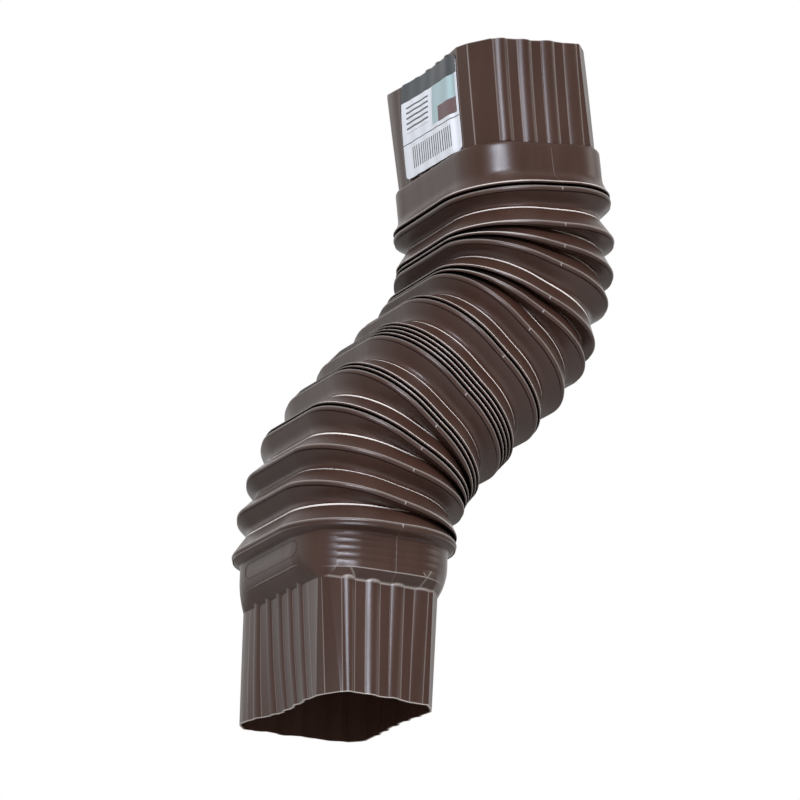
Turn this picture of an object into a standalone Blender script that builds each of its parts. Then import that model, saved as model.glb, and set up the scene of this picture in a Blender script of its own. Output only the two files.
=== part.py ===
"""Flexible downspout elbow: a blow-moulded vinyl bellows between two fluted sleeves, with a paper label.

The elbow keeps the place it has on a wall, with the outlet down and the inlet up and set off towards +X.
X is the narrow way of the pipe and the way it bends, Y is its wide way and Z is up. All sizes are metres.
A frame is a place in the bend plane: x, z and the tilt of the pipe's axis there.
"""
import math
from collections import namedtuple

import bmesh
import bpy
from mathutils import Vector

# Outlet sleeve, which goes into a nominal 2 by 3 inch downspout
OUTLET_HALF_X = 0.0290
OUTLET_HALF_Y = 0.0410
OUTLET_LENGTH = 0.0470

# Inlet sleeve, which slips over the end of such a downspout and opens a little towards its rim
INLET_HALF_X = 0.0305
INLET_HALF_Y = 0.0425
INLET_LENGTH = 0.0445
INLET_FLARE_X = 0.0005
INLET_FLARE_Y = 0.0020

# What both sleeves share
SLEEVE_CORNER_X = 0.0075
SLEEVE_CORNER_Y = 0.0100
SLEEVE_WALL = 0.0009
RIB_HEIGHT = 0.0013
NARROW_RIBS = 4
NARROW_RIB_PITCH = 0.0112
NARROW_RIB_WIDTH = 0.0062
WIDE_RIBS = 5
WIDE_RIB_PITCH = 0.0100
WIDE_RIB_WIDTH = 0.0045
RIB_TOP_SHARE = 0.45

# The soft rims are pressed in on their wide faces and bulge on their narrow ones
OUTLET_PINCH = 0.0045
INLET_PINCH = 0.0025
BULGE_PER_PINCH = 0.40
PINCH_REACH = 0.0300

# Smooth collars between the sleeves and the bellows
UPPER_COLLAR_STEP = 0.0032
UPPER_COLLAR_HEIGHT = 0.0150
UPPER_FLARE_HEIGHT = 0.0045
LOWER_COLLAR_STEP = 0.0052
LOWER_COLLAR_HEIGHT = 0.0148
LOWER_SHOULDER_HEIGHT = 0.0040
LOWER_NECK_HEIGHT = 0.0042
COLLAR_CORNER = 0.0200
SHOULDER_SLOPE = LOWER_SHOULDER_HEIGHT / LOWER_COLLAR_STEP
GROOVES = 4
GROOVE_PITCH = 0.0030
GROOVE_WIDTH = 0.0014
GROOVE_DEPTH = 0.0004
GROOVE_START = 0.0025

# Bellows: its section at a valley, and the fold from there out to a crest
VALLEY_HALF_X = 0.0330
VALLEY_HALF_Y = 0.0460
VALLEY_CORNER = 0.0270
FOLD_DEPTH = 0.0055
FLANK_RISE = 0.0072
FIRST_FOLD_DEPTH = 0.0040
FOLD_WALL = 0.00040
FOLD_GAP = 0.00027

# A shut pleat is as high as two slanting walls and the air beside each
SLANT_PER_DEPTH = math.hypot(FOLD_DEPTH, FLANK_RISE) / FOLD_DEPTH
SHUT = 2.0 * (FOLD_WALL + FOLD_GAP) * SLANT_PER_DEPTH
LIP_HEIGHT = SHUT - FOLD_GAP * SLANT_PER_DEPTH

# How far each pleat stands open on its -X and its +X side, from the inlet down, as bent by hand
PLEATS = (
    (SHUT, SHUT),
    (0.0140, 0.0175),
    (SHUT, 0.0160),
    (SHUT, 0.0140),
    (0.0115, 0.0205),
    (SHUT, 0.0115),
    (SHUT, 0.0185),
    (0.0145, 0.0170),
    (SHUT, SHUT),
    (0.0165, 0.0165),
    (SHUT, SHUT),
    (SHUT, SHUT),
    (SHUT, SHUT),
    (SHUT, SHUT),
    (0.0175, 0.0145),
    (SHUT, SHUT),
    (SHUT, SHUT),
    (0.0190, SHUT),
    (SHUT, SHUT),
    (0.0190, SHUT),
    (0.0165, 0.0130),
    (0.0180, SHUT),
)

# Paper label on the inlet sleeve's -X face, bridging the ribs
LABEL_WIDTH = 0.0510
LABEL_CORNER = 0.0025
LABEL_SHEET = 0.0002
LABEL_GAP = 0.0004
LABEL_BELOW_RIM = 0.0012
LABEL_ABOVE_COLLAR = 0.0018
LABEL_SHIFT_Y = -0.0050
LABEL_HEIGHT = INLET_LENGTH - LABEL_BELOW_RIM - LABEL_ABOVE_COLLAR

# A sleeve's corners are nearly flat facets: the share of a round corner's bulge that they keep
CORNER_BOW = 0.25

# Points round a corner of a plain section and of a fluted one
PLAIN_CORNER_STEPS = 6
FLUTED_CORNER_STEPS = 4
LABEL_COLUMNS = 10

Section = namedtuple("Section", "half_x half_y corner_x corner_y")
Frame = namedtuple("Frame", "x z tilt")
Point = namedtuple("Point", "turn x y proud")
Face = namedtuple("Face", "ribs pitch width")

FACES = (
    Face(NARROW_RIBS, NARROW_RIB_PITCH, NARROW_RIB_WIDTH),
    Face(WIDE_RIBS, WIDE_RIB_PITCH, WIDE_RIB_WIDTH),
)
RIB_PROFILE = ((-1.0, 0.0), (-RIB_TOP_SHARE, RIB_HEIGHT), (RIB_TOP_SHARE, RIB_HEIGHT), (1.0, 0.0))

OUTLET = Section(OUTLET_HALF_X, OUTLET_HALF_Y, SLEEVE_CORNER_X, SLEEVE_CORNER_Y)
INLET = Section(INLET_HALF_X, INLET_HALF_Y, SLEEVE_CORNER_X, SLEEVE_CORNER_Y)
VALLEY = Section(VALLEY_HALF_X, VALLEY_HALF_Y, VALLEY_CORNER, VALLEY_CORNER)


def grown(section, amount):
    """A section whose wall lies further out by amount, on the same corner centres."""
    return Section(*(size + amount for size in section))


CREST = grown(VALLEY, FOLD_DEPTH)
UPPER_COLLAR = grown(INLET, UPPER_COLLAR_STEP)._replace(corner_x=COLLAR_CORNER, corner_y=COLLAR_CORNER)
LOWER_COLLAR = grown(OUTLET, LOWER_COLLAR_STEP)._replace(corner_x=COLLAR_CORNER, corner_y=COLLAR_CORNER)
FIRST_RISE = FIRST_FOLD_DEPTH * UPPER_FLARE_HEIGHT / (CREST.half_y - UPPER_COLLAR.half_y)


def moved(frame, height):
    """The frame that lies height further up the pipe's axis."""
    return Frame(frame.x - height * math.sin(frame.tilt), frame.z + height * math.cos(frame.tilt), frame.tilt)


def crest_frames():
    """Frames of all crests from the inlet down, built up from the outlet's axis pleat by pleat."""
    frame = Frame(0.0, OUTLET_LENGTH + LOWER_SHOULDER_HEIGHT + LOWER_COLLAR_HEIGHT + LOWER_NECK_HEIGHT, 0.0)
    frames = [frame]
    for left, right in reversed(PLEATS):
        turn = (right - left) / (2.0 * CREST.half_x)
        middle = frame._replace(tilt=frame.tilt + turn / 2.0)
        upper = moved(middle, (left + right) / 2.0)
        frame = upper._replace(tilt=frame.tilt + turn)
        frames.append(frame)
    return frames[::-1]


def corner_points(section, steps, bow=1.0):
    """The four corners of a section, each as a list of points; a turn runs from 0 to 4, and bow 0 is a facet."""
    signs = ((1, 1), (-1, 1), (-1, -1), (1, -1))
    arcs = []
    for corner, (sign_x, sign_y) in enumerate(signs):
        centre_x = sign_x * (section.half_x - section.corner_x)
        centre_y = sign_y * (section.half_y - section.corner_y)
        arc = []
        for step in range(steps + 1):
            share = step / steps
            angle = math.radians(90.0 * (corner + share))
            flat = (1.0 - share, share) if corner % 2 == 0 else (share, 1.0 - share)
            across = bow * abs(math.cos(angle)) + (1.0 - bow) * flat[0]
            along = bow * abs(math.sin(angle)) + (1.0 - bow) * flat[1]
            x = centre_x + sign_x * section.corner_x * across
            y = centre_y + sign_y * section.corner_y * along
            arc.append(Point(corner + share / 2.0, x, y, 0.0))
        arcs.append(arc)
    return arcs


def rib_places(face):
    """Turn share, place along the face and height of each corner of the ribs on a face."""
    places = []
    for rib in range(face.ribs):
        centre = (rib - (face.ribs - 1) / 2.0) * face.pitch
        for step, (side, height) in enumerate(RIB_PROFILE):
            share = (rib + (step + 1) / (len(RIB_PROFILE) + 1)) / face.ribs
            places.append((share, centre + side * face.width / 2.0, height))
    return places


def gap_places(face):
    """Turn share and place of the middle of each gap between the ribs on a face, with no height."""
    return [(gap / face.ribs, (gap - face.ribs / 2.0) * face.pitch, 0.0) for gap in range(1, face.ribs)]


def outline(section, steps, places_on=None, bow=1.0):
    """The points round a section, with those that places_on gives on each face between its corners."""
    arcs = corner_points(section, steps, bow)
    points = []
    for number, arc in enumerate(arcs):
        points += arc
        if places_on:
            start, end = arc[-1], arcs[(number + 1) % 4][0]
            along = Vector((end.x - start.x, end.y - start.y)).normalized()
            outward = Vector((along.y, -along.x))
            middle = Vector((start.x + end.x, start.y + end.y)) / 2.0
            for share, place, height in places_on(FACES[number % 2]):
                spot = middle + along * place + outward * height
                points.append(Point(start.turn + share / 2.0, spot.x, spot.y, height))
    return points


def plain_outline(section):
    """The outline of a section of the collars or the bellows."""
    return outline(section, PLAIN_CORNER_STEPS)


def collar_end_outline(section):
    """The outline of a collar where it meets a fluted sleeve, with a point over each gap between ribs."""
    return outline(section, PLAIN_CORNER_STEPS, gap_places)


def fluted_outline(section):
    """The outline of a sleeve, with its ribs."""
    return outline(section, FLUTED_CORNER_STEPS, rib_places, CORNER_BOW)


def inset(section, wall):
    """A sleeve's section set in by its wall, which stays as thick across the flat corners."""
    steep = math.atan2(section.corner_y, section.corner_x)
    return Section(
        section.half_x - wall,
        section.half_y - wall,
        section.corner_x - wall * (1.0 - math.tan(steep / 2.0)),
        section.corner_y - wall * (1.0 - math.tan(math.pi / 4.0 - steep / 2.0)),
    )


def pinch_share(depth):
    """How much of the rim's pinch is left at a depth from the rim."""
    return max(0.0, 1.0 - depth / PINCH_REACH) ** 2


def pinched(x, y, section, pinch):
    """A point of a section whose wide faces are pressed in by pinch at their middles."""
    inward = pinch * math.cos(0.5 * math.pi * min(1.0, abs(y) / section.half_y)) ** 2
    bulge = BULGE_PER_PINCH * pinch * math.cos(0.5 * math.pi * min(1.0, abs(x) / section.half_x)) ** 2
    return x * (1.0 - inward / section.half_x), y * (1.0 + bulge / section.half_y)


def ring(shell, frame, points, lift=0.0):
    """A ring of vertices: an outline set across the pipe at a frame; lift raises what stands proud."""
    cos, sin = math.cos(frame.tilt), math.sin(frame.tilt)
    corners = []
    for point in points:
        up = point.proud * lift
        place = (frame.x + point.x * cos - up * sin, point.y, frame.z + point.x * sin + up * cos)
        corners.append((point.turn, shell.verts.new(place)))
    return corners


def middle_of_step(corners, index):
    """The turn halfway from a point of a ring to the next one, or more than any turn past the last."""
    if index >= len(corners):
        return 5.0
    end = corners[index + 1][0] if index + 1 < len(corners) else 4.0
    return (corners[index][0] + end) / 2.0


def join(shell, upper, lower, inside=False):
    """Faces between two rings that may have different numbers of points, going round by their turns."""
    first, second = 0, 0
    while first < len(upper) or second < len(lower):
        upper_step = middle_of_step(upper, first)
        lower_step = middle_of_step(lower, second)
        a = upper[first % len(upper)][1]
        b = lower[second % len(lower)][1]
        if upper_step <= lower_step:
            first += 1
            c = upper[first % len(upper)][1]
        else:
            second += 1
            c = lower[second % len(lower)][1]
        shell.faces.new((a, c, b) if inside else (a, b, c))


def sleeve_rings(shell, rim_frame, into, section, flare, pinch, length, wall, lift):
    """Rings of one face of a sleeve from its rim inwards; into is -1 down the axis or 1 up it."""
    rings = []
    for depth in (0.0, PINCH_REACH / 2.0, PINCH_REACH, length):
        open_share = 1.0 - depth / length
        here = inset(section, wall)
        here = here._replace(
            half_x=here.half_x + flare[0] * open_share, half_y=here.half_y + flare[1] * open_share
        )
        points = []
        for point in fluted_outline(here):
            x, y = pinched(point.x, point.y, here, pinch * pinch_share(depth))
            points.append(point._replace(x=x, y=y))
        rings.append(ring(shell, moved(rim_frame, into * depth), points, lift if depth == length else 0.0))
    return rings


def inner_fold(shell, upper_lip, valley, crest):
    """The two inner rings round a valley, offset by the wall from the two flanks that meet there."""
    above = []
    below = []
    count = len(valley)
    for index, (turn, vertex) in enumerate(valley):
        around = valley[(index + 1) % count][1].co - valley[index - 1][1].co
        arriving = (vertex.co - upper_lip[index][1].co).normalized()
        leaving = (crest[index][1].co - vertex.co).normalized()
        bend = math.acos(max(-1.0, min(1.0, arriving.dot(leaving))))
        reach = FOLD_WALL * math.tan(bend / 4.0)
        spot_above = vertex.co + around.cross(arriving).normalized() * FOLD_WALL + arriving * reach
        spot_below = vertex.co + around.cross(leaving).normalized() * FOLD_WALL - leaving * reach
        above.append((turn, shell.verts.new(spot_above)))
        below.append((turn, shell.verts.new(spot_below)))
    return above, below


def bellows(shell, frames):
    """Outer and inner rings of the whole bellows, from the first crest down to the last crest's lip."""
    crest = plain_outline(CREST)
    valley = plain_outline(VALLEY)
    first_valley = plain_outline(grown(CREST, -FIRST_FOLD_DEPTH))
    inside = plain_outline(grown(CREST, -FOLD_WALL))
    outer = []
    inner = []
    for number, frame in enumerate(frames):
        edge = ring(shell, frame, crest)
        lip = ring(shell, moved(frame, -LIP_HEIGHT), crest)
        inner_crest = ring(shell, moved(frame, -LIP_HEIGHT / 2.0), inside)
        if number:
            rise, around = (FIRST_RISE, first_valley) if number == 1 else (FLANK_RISE, valley)
            fold = ring(shell, moved(frame, rise), around)
            inner += inner_fold(shell, outer[-1], fold, edge)
            outer.append(fold)
        outer += [edge, lip]
        inner.append(inner_crest)
    return outer, inner


def mitre(across, along):
    """How far along the axis a wall's inner corner lies from its outer one, where the wall turns to a slope."""
    return SLEEVE_WALL * math.tan(math.atan2(across, along) / 2.0)


def upper_end(shell, first_crest):
    """Outer and inner rings of the inlet sleeve and the upper collar, from the rim down."""
    rim = moved(first_crest, INLET_LENGTH + UPPER_COLLAR_HEIGHT + UPPER_FLARE_HEIGHT)
    flare = (INLET_FLARE_X, INLET_FLARE_Y)
    outer = sleeve_rings(shell, rim, -1.0, INLET, flare, INLET_PINCH, INLET_LENGTH, 0.0, 0.0)
    shoulder_drop = UPPER_COLLAR_STEP / 3.0
    shoulder_mitre = mitre(UPPER_COLLAR_STEP, shoulder_drop)
    inner_length = INLET_LENGTH + shoulder_mitre
    inner = sleeve_rings(shell, rim, -1.0, INLET, flare, INLET_PINCH, inner_length, SLEEVE_WALL, 0.0)
    top = UPPER_FLARE_HEIGHT + UPPER_COLLAR_HEIGHT - shoulder_drop
    flare_mitre = mitre(CREST.half_x - UPPER_COLLAR.half_x, UPPER_FLARE_HEIGHT)
    for height, drop, around in (
        (top, shoulder_mitre, collar_end_outline),
        (UPPER_FLARE_HEIGHT, flare_mitre, plain_outline),
    ):
        outer.append(ring(shell, moved(first_crest, height), around(UPPER_COLLAR)))
        inside = around(grown(UPPER_COLLAR, -SLEEVE_WALL))
        inner.append(ring(shell, moved(first_crest, height - drop), inside))
    return outer, inner


def lower_end(shell):
    """Outer and inner rings of the lower collar and the outlet sleeve, from the collar's top down."""
    bottom = Frame(0.0, OUTLET_LENGTH + LOWER_SHOULDER_HEIGHT, 0.0)
    top = moved(bottom, LOWER_COLLAR_HEIGHT)
    wall = plain_outline(LOWER_COLLAR)
    inside = grown(LOWER_COLLAR, -SLEEVE_WALL)
    outer = [ring(shell, top, wall)]
    for groove in range(GROOVES):
        centre = -GROOVE_START - groove * GROOVE_PITCH
        sunk = plain_outline(grown(LOWER_COLLAR, -GROOVE_DEPTH))
        outer.append(ring(shell, moved(top, centre + GROOVE_WIDTH / 2.0), wall))
        outer.append(ring(shell, moved(top, centre), sunk))
        outer.append(ring(shell, moved(top, centre - GROOVE_WIDTH / 2.0), wall))
    outer.append(ring(shell, bottom, collar_end_outline(LOWER_COLLAR)))
    shoulder_mitre = mitre(LOWER_COLLAR_STEP, LOWER_SHOULDER_HEIGHT)
    neck_mitre = mitre(CREST.half_x - LOWER_COLLAR.half_x, LOWER_NECK_HEIGHT - LIP_HEIGHT)
    inner = [
        ring(shell, moved(top, neck_mitre), plain_outline(inside)),
        ring(shell, moved(bottom, shoulder_mitre), collar_end_outline(inside)),
    ]
    rim = Frame(0.0, 0.0, 0.0)
    flare = (0.0, 0.0)
    outer += sleeve_rings(
        shell, rim, 1.0, OUTLET, flare, OUTLET_PINCH, OUTLET_LENGTH, 0.0, SHOULDER_SLOPE
    )[::-1]
    inner_length = OUTLET_LENGTH + shoulder_mitre
    inner += sleeve_rings(
        shell, rim, 1.0, OUTLET, flare, OUTLET_PINCH, inner_length, SLEEVE_WALL, SHOULDER_SLOPE
    )[::-1]
    return outer, inner


def build_elbow(frames):
    """The whole elbow as one thin wall: down its outside, round the outlet rim and up its inside."""
    shell = bmesh.new()
    top_outer, top_inner = upper_end(shell, frames[0])
    middle_outer, middle_inner = bellows(shell, frames)
    end_outer, end_inner = lower_end(shell)
    outer = top_outer + middle_outer + end_outer
    inner = top_inner + middle_inner + end_inner
    for upper, lower in zip(outer, outer[1:]):
        join(shell, upper, lower)
    for upper, lower in zip(inner, inner[1:]):
        join(shell, upper, lower, inside=True)
    join(shell, inner[0], outer[0])
    join(shell, outer[-1], inner[-1])
    return shell


def label_spot(rim, depth, y, out):
    """A point out from the ribs on the inlet's -X face, at a depth from the rim."""
    open_share = 1.0 - depth / INLET_LENGTH
    here = INLET._replace(
        half_x=INLET.half_x + INLET_FLARE_X * open_share, half_y=INLET.half_y + INLET_FLARE_Y * open_share
    )
    x, _ = pinched(-here.half_x - RIB_HEIGHT, y, here, INLET_PINCH * pinch_share(depth))
    frame = moved(rim, -depth)
    x -= out
    return frame.x + x * math.cos(frame.tilt), y, frame.z + x * math.sin(frame.tilt)


def label_rows():
    """Depth below the rim and half width of each row of the label, which has round corners."""
    rows = []
    for angle in (0.0, 45.0, 90.0):
        radians = math.radians(angle)
        inset = LABEL_CORNER * (1.0 - math.sin(radians))
        rows.append((LABEL_CORNER * (1.0 - math.cos(radians)), LABEL_WIDTH / 2.0 - inset))
    steps = 5
    clear = LABEL_HEIGHT - 2.0 * LABEL_CORNER
    middle = [(LABEL_CORNER + clear * step / steps, LABEL_WIDTH / 2.0) for step in range(1, steps)]
    mirrored = [(LABEL_HEIGHT - depth, half) for depth, half in rows[::-1]]
    return [(LABEL_BELOW_RIM + depth, half) for depth, half in rows + middle + mirrored]


def build_label(first_crest):
    """The label as a thin closed sheet that lies on the rib tops."""
    rim = moved(first_crest, INLET_LENGTH + UPPER_COLLAR_HEIGHT + UPPER_FLARE_HEIGHT)
    sheet = bmesh.new()
    sides = []
    for out in (LABEL_GAP, LABEL_GAP + LABEL_SHEET):
        grid = []
        for depth, half in label_rows():
            row = []
            for column in range(LABEL_COLUMNS + 1):
                y = LABEL_SHIFT_Y + half * (1.0 - 2.0 * column / LABEL_COLUMNS)
                row.append(sheet.verts.new(label_spot(rim, depth, y, out)))
            grid.append(row)
        sides.append(grid)
    back, front = sides
    rows = len(front)
    for row in range(rows - 1):
        for column in range(LABEL_COLUMNS):
            for grid, flip in ((front, False), (back, True)):
                face = [grid[row][column], grid[row + 1][column], grid[row + 1][column + 1], grid[row][column + 1]]
                sheet.faces.new(face[::-1] if flip else face)
    border = [(0, column) for column in range(LABEL_COLUMNS)]
    border += [(row, LABEL_COLUMNS) for row in range(rows - 1)]
    border += [(rows - 1, column) for column in range(LABEL_COLUMNS, 0, -1)]
    border += [(row, 0) for row in range(rows - 1, 0, -1)]
    for (row, column), (next_row, next_column) in zip(border, border[1:] + border[:1]):
        sheet.faces.new(
            (back[row][column], front[row][column], front[next_row][next_column], back[next_row][next_column])
        )
    return sheet


def make_material(name, colour, roughness):
    """A plain plastic or paper material."""
    material = bpy.data.materials.new(name)
    material.use_nodes = True
    shader = material.node_tree.nodes["Principled BSDF"]
    shader.inputs["Base Color"].default_value = (*colour, 1.0)
    shader.inputs["Roughness"].default_value = roughness
    shader.inputs["Metallic"].default_value = 0.0
    return material


def add_object(name, mesh_data, material, shift):
    """A named object from a bmesh, moved so that the part stands centred on the origin."""
    bmesh.ops.translate(mesh_data, verts=mesh_data.verts, vec=(shift, 0.0, 0.0))
    bmesh.ops.recalc_face_normals(mesh_data, faces=mesh_data.faces)
    mesh = bpy.data.meshes.new(name)
    mesh_data.to_mesh(mesh)
    mesh_data.free()
    mesh.materials.append(material)
    item = bpy.data.objects.new(name, mesh)
    bpy.context.scene.collection.objects.link(item)
    mesh.shade_smooth()
    mesh.set_sharp_from_angle(angle=math.radians(25.0))
    return item


def main():
    for item in list(bpy.data.objects):
        bpy.data.objects.remove(item, do_unlink=True)
    frames = crest_frames()
    elbow = build_elbow(frames)
    label = build_label(frames[0])
    reach = [vertex.co.x for shape in (elbow, label) for vertex in shape.verts]
    shift = -(min(reach) + max(reach)) / 2.0
    vinyl = make_material("brown_vinyl", (0.045, 0.028, 0.021), 0.38)
    paper = make_material("label_paper", (0.80, 0.81, 0.82), 0.45)
    add_object("flexible_elbow", elbow, vinyl, shift)
    add_object("label", label, paper, shift)


main()
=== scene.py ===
"""Looks of the flexible downspout elbow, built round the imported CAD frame.

The elbow is one blow-moulded wall of dark brown vinyl: a fluted inlet sleeve, a smooth collar, a bellows
of pleats that were bent open or shut by hand, a grooved collar and a fluted outlet sleeve. A paper sticker
is on the inlet's left face. Three pieces stand for the wall, split where a crest's edge hides the join. One
more is the bare moulded frame on the lower collar, and one is the sticker. Sizes are metres in the frame of
the CAD model: X is the narrow way of the pipe and the way it bends, Y its wide way and Z is up.
"""
from __future__ import annotations

import logging
import math
from dataclasses import astuple, dataclass, replace
from enum import Enum
from typing import Callable, Sequence, Union

import bpy
from mathutils import Matrix, Vector


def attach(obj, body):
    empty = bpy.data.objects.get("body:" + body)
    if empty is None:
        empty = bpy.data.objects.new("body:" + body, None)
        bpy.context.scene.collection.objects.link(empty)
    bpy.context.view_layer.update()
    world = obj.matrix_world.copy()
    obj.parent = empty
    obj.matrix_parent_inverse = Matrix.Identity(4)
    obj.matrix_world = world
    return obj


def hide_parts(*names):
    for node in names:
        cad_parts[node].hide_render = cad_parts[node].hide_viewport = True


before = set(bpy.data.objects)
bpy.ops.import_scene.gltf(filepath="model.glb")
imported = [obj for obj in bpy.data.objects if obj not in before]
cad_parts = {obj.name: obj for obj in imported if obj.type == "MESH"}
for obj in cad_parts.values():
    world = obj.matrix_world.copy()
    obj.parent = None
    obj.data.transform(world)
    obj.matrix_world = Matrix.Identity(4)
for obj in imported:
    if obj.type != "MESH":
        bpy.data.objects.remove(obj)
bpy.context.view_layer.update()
LOG = logging.getLogger("elbow")
MM = 0.001

# Whole elbow
SHIFT_X = -35.639 * MM
OUTLET_LENGTH = 47.0 * MM
INLET_LENGTH = 44.5 * MM
SLEEVE_WALL = 0.9 * MM
RIB_HEIGHT = 1.3 * MM
UPPER_COLLAR_HEIGHT = 15.0 * MM
UPPER_FLARE_HEIGHT = 4.5 * MM
LOWER_COLLAR_HEIGHT = 14.8 * MM
LOWER_SHOULDER_HEIGHT = 4.0 * MM
LOWER_NECK_HEIGHT = 4.2 * MM
FLANK_RISE = 7.2 * MM
FOLD_WALL = 0.35 * MM
OPEN_LIP = 1.76 * MM
SHUT_LIP = 0.62 * MM
SHUT_MM = 2.2074

# How far each pleat stands open on its -X and its +X side, from the inlet down, in millimetres
PLEATS_MM = (
    (SHUT_MM, SHUT_MM),
    (14.0, 17.5),
    (SHUT_MM, 16.0),
    (SHUT_MM, 14.0),
    (11.5, 20.5),
    (SHUT_MM, 11.5),
    (SHUT_MM, 18.5),
    (14.5, 17.0),
    (SHUT_MM, SHUT_MM),
    (16.5, 16.5),
    (SHUT_MM, SHUT_MM),
    (SHUT_MM, SHUT_MM),
    (SHUT_MM, SHUT_MM),
    (SHUT_MM, SHUT_MM),
    (17.5, 14.5),
    (SHUT_MM, SHUT_MM),
    (SHUT_MM, SHUT_MM),
    (19.0, SHUT_MM),
    (SHUT_MM, SHUT_MM),
    (19.0, SHUT_MM),
    (16.5, 13.0),
    (18.0, SHUT_MM),
)


def smooth_step(low: float, high: float, value: float) -> float:
    """Ease from 0 at low to 1 at high.

    Args:
        low: where the ease starts.
        high: where it ends.
        value: the place to look at.

    Returns:
        A share from 0 to 1.
    """
    share = min(1.0, max(0.0, (value - low) / (high - low)))
    return share * share * (3.0 - 2.0 * share)


@dataclass(frozen=True)
class PipeFrame:
    """A place in the bend plane: x, z and the tilt of the pipe's axis there."""

    x: float
    z: float
    tilt: float

    def moved(self, height: float) -> PipeFrame:
        """Return the frame that lies height further up the pipe's axis."""
        return PipeFrame(
            self.x - height * math.sin(self.tilt), self.z + height * math.cos(self.tilt), self.tilt
        )

    def place(self, across: float, wide: float, up: float = 0.0) -> Vector:
        """Turn a point of the pipe's section into a point of the model.

        Args:
            across: how far along the narrow way.
            wide: how far along the wide way.
            up: how far up the axis.

        Returns:
            The point in the model's frame.
        """
        cos, sin = math.cos(self.tilt), math.sin(self.tilt)
        return Vector((SHIFT_X + self.x + across * cos - up * sin, wide, self.z + across * sin + up * cos))


# How far the narrow faces bulge for what the wide ones are pressed in
BULGE = 0.4

# How a sleeve gives way where its left face is pressed in: the places are shares of the section's half
# widths, and the amounts are shares of the press
SKEW_LEFT = (-0.45, -1.0)
SKEW_RIGHT = (-0.4, 0.6)
SKEW_RIGHT_SHARE = 0.3
SKEW_NEAR = (0.72, 0.1)
SWING = 0.6
SWING_MIDDLE = -0.35
SWING_HALF = 0.76
SWING_FRONT = (-0.3, -0.9)


@dataclass(frozen=True)
class Section:
    """A rectangle across the pipe, with corners that are round or kinked.

    Attributes:
        half_x: half its narrow way.
        half_y: half its wide way.
        corner_x: how far a corner reaches along the narrow way.
        corner_y: how far a corner reaches along the wide way.
        bow: 1 for round corners, 0 for kinked facets.
        near_corner: size of the left front corner against the back ones.
        right_corner: size of the right front corner against the back ones.
    """

    half_x: float
    half_y: float
    corner_x: float
    corner_y: float
    bow: float = 1.0
    near_corner: float = 1.0
    right_corner: float = 1.0

    def grown(self, amount: float) -> Section:
        """Return the section whose wall lies further out by amount, on the same corner centres."""
        return replace(
            self,
            half_x=self.half_x + amount,
            half_y=self.half_y + amount,
            corner_x=self.corner_x + amount,
            corner_y=self.corner_y + amount,
        )

    def towards(self, other: Section, share: float) -> Section:
        """Return the section that lies a share of the way to another one.

        Args:
            other: the section at share 1.
            share: how far to go.

        Returns:
            The section in between.
        """
        pairs = zip(astuple(self), astuple(other))
        return Section(*(one + (two - one) * share for one, two in pairs))

    def inset(self, wall: float) -> Section:
        """Return the section set in by a wall that is as thick across its flat corners."""
        steep = math.atan2(self.corner_y, self.corner_x)
        return replace(
            self,
            half_x=self.half_x - wall,
            half_y=self.half_y - wall,
            corner_x=self.corner_x - wall * (1.0 - math.tan(steep / 2.0)),
            corner_y=self.corner_y - wall * (1.0 - math.tan(math.pi / 4.0 - steep / 2.0)),
        )

    def flats(self) -> tuple[float, float]:
        """Return half the flat length of a narrow face and of a wide one, beside the largest corner."""
        size = max(1.0, self.near_corner, self.right_corner)
        return self.half_x - size * self.corner_x, self.half_y - size * self.corner_y

    def pinched(self, x: float, y: float, pinch: float) -> tuple[float, float]:
        """Press the wide faces in at their middles and let the narrow ones bulge.

        Args:
            x: a point's place along the narrow way.
            y: its place along the wide way.
            pinch: how far the wide faces go in.

        Returns:
            The point's new x and y.
        """
        inward = pinch * math.cos(0.5 * math.pi * min(1.0, abs(y) / self.half_y)) ** 2
        bulge = BULGE * pinch * math.cos(0.5 * math.pi * min(1.0, abs(x) / self.half_x)) ** 2
        return x * (1.0 - inward / self.half_x), y * (1.0 + bulge / self.half_y)

    def skewed(self, x: float, y: float, amount: float) -> tuple[float, float]:
        """Push the left face in towards the front, and swing the front face out beside it.

        Args:
            x: a point's place along the narrow way.
            y: its place along the wide way.
            amount: how far the left face goes in.

        Returns:
            The point's new x and y.
        """
        side, deep = x / self.half_x, y / self.half_y
        inward = smooth_step(*SKEW_LEFT, side) - SKEW_RIGHT_SHARE * smooth_step(*SKEW_RIGHT, side)
        inward *= smooth_step(*SKEW_NEAR, deep)
        swing = SWING * math.cos(0.5 * math.pi * (side - SWING_MIDDLE) / SWING_HALF)
        swing *= smooth_step(*SWING_FRONT, deep)
        return x + amount * inward, y - amount * swing


# The two front corners of a sleeve are larger than its back corners
OUTLET = Section(29.0 * MM, 41.0 * MM, 5.0 * MM, 7.2 * MM, 0.0, 1.44, 1.2)
INLET = Section(30.5 * MM, 42.5 * MM, 7.0 * MM, 9.8 * MM, 0.0, 1.38, 1.36)
KINK_X = 0.28
KINK_Y = 0.41
KINK_PLACE = 0.4
VALLEY = Section(33.0 * MM, 46.0 * MM, 27.0 * MM, 27.0 * MM)
CREST = VALLEY.grown(5.5 * MM)
UPPER_COLLAR_STEP = 3.2 * MM
UPPER_COLLAR = Section(33.7 * MM, 45.7 * MM, 20.0 * MM, 20.0 * MM)
LOWER_COLLAR = Section(34.2 * MM, 46.2 * MM, 24.0 * MM, 24.0 * MM)


class Face(Enum):
    """The four faces of the pipe, with their outward normal and the way an outline runs along them."""

    BACK = ((0.0, 1.0), (-1.0, 0.0))
    LEFT = ((-1.0, 0.0), (0.0, -1.0))
    FRONT = ((0.0, -1.0), (1.0, 0.0))
    RIGHT = ((1.0, 0.0), (0.0, 1.0))

    @property
    def wide(self) -> bool:
        """Whether this is one of the two wide faces."""
        return self.value[0][0] != 0.0


FACES = tuple(Face)


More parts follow.
